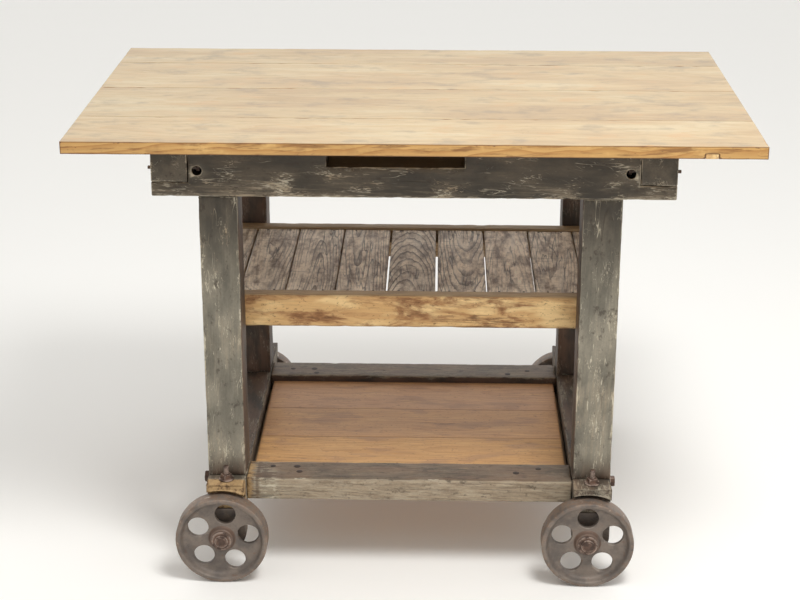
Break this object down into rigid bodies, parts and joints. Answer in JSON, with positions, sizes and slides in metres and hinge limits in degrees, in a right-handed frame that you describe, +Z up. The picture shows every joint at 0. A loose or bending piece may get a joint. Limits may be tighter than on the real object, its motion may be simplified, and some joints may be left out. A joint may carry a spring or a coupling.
{
  "type": "kitchen island cart",
  "caption": "Industrial kitchen island cart: a plank worktop on a painted timber frame with a slatted middle shelf, a boarded bottom shelf and spoked-hole cast-iron wheels.",
  "frame": {"origin": "middle of the whole cart's box on the floor, with all wheels standing on Z = 0", "axes": "+X to the right along the worktop's length, +Y from the front, where the slotted beam is, to the back, +Z up"},
  "size_m": [1.264, 0.8274, 0.9],
  "materials": {
    "worktop": "waxed, worn smooth",
    "painted_timber": "old grey-green paint, scratched and chipped",
    "honey_wood": "bare, oiled",
    "grey_boards": "weathered, dark raised grain",
    "warm_boards": "bare, waxed",
    "cast_iron": "brown patina, rubbed bright on the tread",
    "rusty_steel": "rusted"
  },
  "bodies": {
    "frame": {"top_board_1": "worktop", "top_board_2": "worktop", "top_board_3": "worktop", "top_board_4": "worktop", "top_batten_left": "honey_wood", "top_batten_right": "honey_wood", "beam_front": "painted_timber", "beam_back": "painted_timber", "side_rail_left": "painted_timber", "top_tie_rod_front_left": "rusty_steel", "top_tie_rod_back_left": "rusty_steel", "side_rail_right": "painted_timber", "top_tie_rod_front_right": "rusty_steel", "top_tie_rod_back_right": "rusty_steel", "leg_front_left": "painted_timber", "leg_front_right": "painted_timber", "leg_back_left": "painted_timber", "leg_back_right": "painted_timber", "sill_left": "painted_timber", "sill_right": "painted_timber", "base_tie_bolt_front_left": "rusty_steel", "base_tie_bolt_front_right": "rusty_steel", "base_tie_bolt_back_left": "rusty_steel", "base_tie_bolt_back_right": "rusty_steel", "stretcher_front": "painted_timber", "stretcher_back": "painted_timber", "bottom_board_1": "warm_boards", "bottom_board_2": "warm_boards", "bottom_board_3": "warm_boards", "bottom_cleat_left": "honey_wood", "bottom_cleat_right": "honey_wood", "shelf_rail_front": "honey_wood", "shelf_rail_back": "honey_wood", "shelf_ledger_front": "honey_wood", "shelf_ledger_back": "honey_wood", "shelf_board_1": "grey_boards", "shelf_board_2": "grey_boards", "shelf_board_3": "grey_boards", "shelf_board_4": "grey_boards", "shelf_board_5": "grey_boards", "shelf_board_6": "grey_boards", "shelf_board_7": "grey_boards", "shelf_board_8": "grey_boards", "shelf_board_9": "grey_boards", "axle_front_left": "rusty_steel", "hanger_front_left": "cast_iron", "hanger_bolt_front_left": "rusty_steel", "axle_front_right": "rusty_steel", "hanger_front_right": "cast_iron", "hanger_bolt_front_right": "rusty_steel", "axle_back_left": "rusty_steel", "hanger_back_left": "cast_iron", "hanger_bolt_back_left": "rusty_steel", "axle_back_right": "rusty_steel", "hanger_back_right": "cast_iron", "hanger_bolt_back_right": "rusty_steel"},
    "wheel_front_left": {"wheel_front_left": "cast_iron"},
    "wheel_front_right": {"wheel_front_right": "cast_iron"},
    "wheel_back_left": {"wheel_back_left": "cast_iron"},
    "wheel_back_right": {"wheel_back_right": "cast_iron"}
  },
  "joints": [
    {"name": "wheel_front_left_roll", "type": "hinge", "parent": "frame", "child": "wheel_front_left", "pos_m": [-0.371, -0.37265, 0.09], "axis": [0, 1, 0], "continuous": true},
    {"name": "wheel_front_right_roll", "type": "hinge", "parent": "frame", "child": "wheel_front_right", "pos_m": [0.343, -0.37265, 0.09], "axis": [0, 1, 0], "continuous": true},
    {"name": "wheel_back_left_roll", "type": "hinge", "parent": "frame", "child": "wheel_back_left", "pos_m": [-0.371, 0.38935, 0.09], "axis": [0, 1, 0], "continuous": true},
    {"name": "wheel_back_right_roll", "type": "hinge", "parent": "frame", "child": "wheel_back_right", "pos_m": [0.343, 0.38935, 0.09], "axis": [0, 1, 0], "continuous": true}
  ]
}
